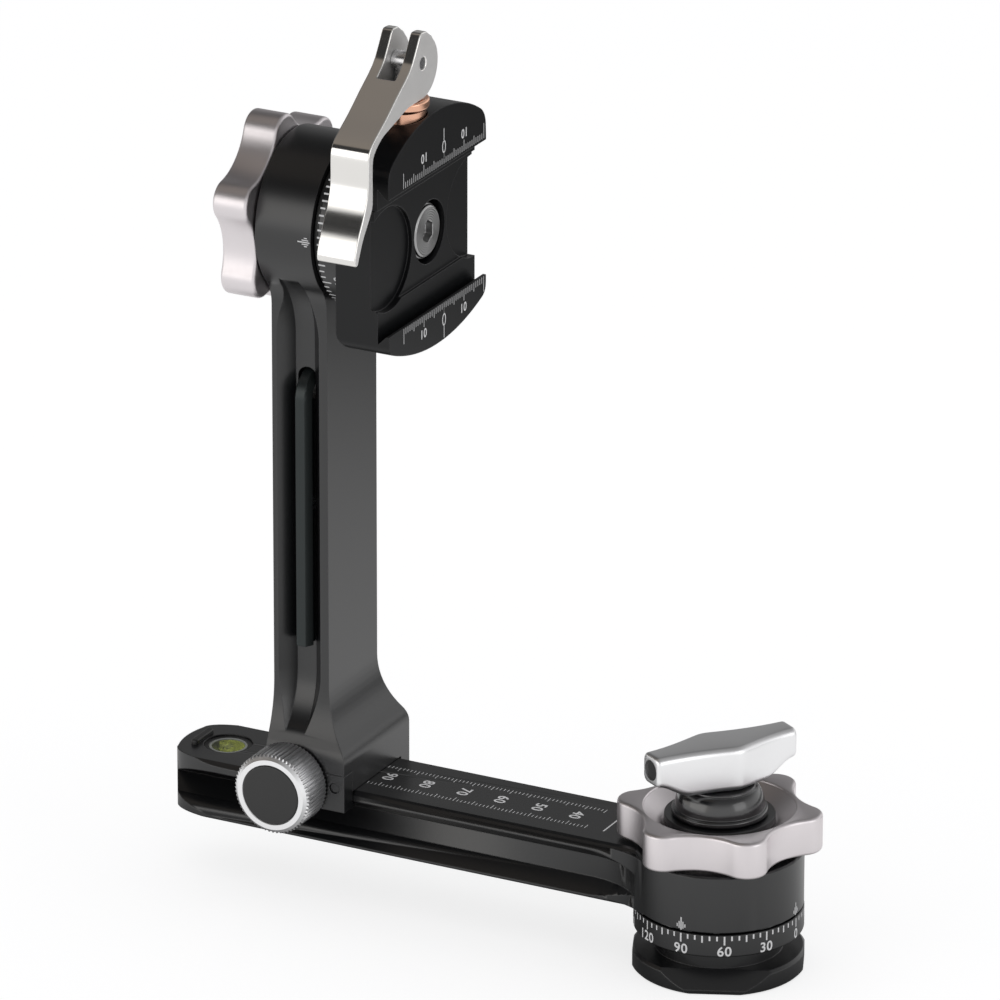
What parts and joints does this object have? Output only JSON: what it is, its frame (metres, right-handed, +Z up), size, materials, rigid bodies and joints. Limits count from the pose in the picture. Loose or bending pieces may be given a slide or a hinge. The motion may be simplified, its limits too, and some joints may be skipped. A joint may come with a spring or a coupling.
{
  "type": "panoramic tripod head",
  "caption": "Black single-row panoramic tripod head with a pan base, scaled rail, sliding upright and a tilting lever-release camera clamp.",
  "frame": {"origin": "centre of the tripod socket at the base's underside, on the pan axis", "axes": "+Z up along the pan axis; the lower arm runs towards -X; the camera clamp opens towards +X; its lever hangs on the -Y side"},
  "size_m": [0.1667, 0.0655, 0.2214],
  "materials": {
    "black_anodised": "satin black anodised",
    "light_anodised": "satin clear anodised",
    "silver": "bright clear anodised",
    "steel": "turned",
    "stainless": "polished",
    "copper": "turned copper",
    "bronze": "plain bearing bronze",
    "black_steel": "black oxide",
    "black_plastic": "moulded",
    "gloss_black": "moulded",
    "friction": "low friction washer",
    "level_liquid": "yellow-green liquid",
    "lens": "clear"
  },
  "bodies": {
    "base": {"dovetail_base": "black_anodised", "base_screws": "black_steel", "pan_spindle": "steel", "pan_degree_ring": "black_anodised", "thrust_washer": "bronze", "spindle_collar": "black_anodised"},
    "arm": {"lower_arm": "black_anodised", "friction_disc": "friction", "level_housing": "black_plastic", "level_fluid": "level_liquid", "level_lens": "lens", "end_stop": "black_plastic"},
    "pan_lock": {"pan_star_knob": "light_anodised"},
    "wing_lock": {"wing_knob": "silver", "wing_inserts": "black_plastic", "centre_hub": "black_anodised", "centre_bolt": "steel"},
    "upright": {"upright_arm": "black_anodised", "tilt_bush": "bronze", "key_magnet": "steel", "slide_jaw_pins": "steel"},
    "slide_jaw": {"slide_jaw": "black_anodised"},
    "slide_knob": {"slide_knob": "silver", "slide_knob_cap": "gloss_black", "slide_screw": "steel", "slide_washer": "black_plastic"},
    "key": {"hex_key": "black_steel"},
    "clamp": {"clamp_body": "black_anodised", "tilt_bolt": "stainless", "tilt_head_washer": "stainless", "tilt_degree_ring": "black_anodised", "tilt_friction_washer": "black_plastic", "drawbar": "steel", "jaw_guide_pins": "steel", "jaw_springs": "steel"},
    "tilt_lock": {"tilt_star_knob": "light_anodised", "tilt_knob_cap": "gloss_black"},
    "jaw": {"moving_jaw": "black_anodised", "pressure_washer": "copper"},
    "lever": {"clamp_lever": "stainless", "lever_pin": "steel"}
  },
  "joints": [
    {"name": "pan", "type": "hinge", "parent": "base", "child": "arm", "pos_m": [0, 0, 0.0226], "axis": [0, 0, 1], "continuous": true},
    {"name": "pan_lock_turn", "type": "hinge", "parent": "base", "child": "pan_lock", "pos_m": [0, 0, 0.0354], "axis": [0, 0, 1], "range_deg": [-45, 90]},
    {"name": "wing_lock_turn", "type": "hinge", "parent": "base", "child": "wing_lock", "pos_m": [0, 0, 0.0525], "axis": [0, 0, 1], "range_deg": [-45, 180]},
    {"name": "arm_slide", "type": "slide", "parent": "arm", "child": "upright", "axis": [1, 0, 0], "range_m": [-0.0255, 0.062]},
    {"name": "slide_jaw_release", "type": "slide", "parent": "upright", "child": "slide_jaw", "axis": [0, -1, 0], "range_m": [0, 0.0008]},
    {"name": "slide_knob_turn", "type": "hinge", "parent": "slide_jaw", "child": "slide_knob", "pos_m": [-0.1052, -0.0216, 0.0318], "axis": [0, -1, 0], "range_deg": [0, 540]},
    {"name": "key_pull", "type": "slide", "parent": "upright", "child": "key", "axis": [0, -1, 0], "range_m": [0, 0.03]},
    {"name": "tilt", "type": "hinge", "parent": "upright", "child": "clamp", "pos_m": [-0.0869, 0, 0.1697], "axis": [1, 0, 0], "continuous": true},
    {"name": "tilt_lock_turn", "type": "hinge", "parent": "clamp", "child": "tilt_lock", "pos_m": [-0.117, 0, 0.1697], "axis": [-1, 0, 0], "range_deg": [-45, 90]},
    {"name": "lever_swing", "type": "hinge", "parent": "clamp", "child": "lever", "pos_m": [-0.079, -0.0082, 0.2139], "axis": [-1, 0, 0], "range_deg": [0, 110]},
    {"name": "jaw_slide", "type": "slide", "parent": "clamp", "child": "jaw", "axis": [0, 0, 1], "range_m": [0, 0.0015], "deforming": ["jaw_springs"]}
  ],
  "couplings": [
    {"joint": "lever_swing", "follows": "jaw_slide", "rad_per_m": 1279},
    {"joint": "slide_knob_turn", "follows": "slide_jaw_release", "rad_per_m": 11775}
  ]
}
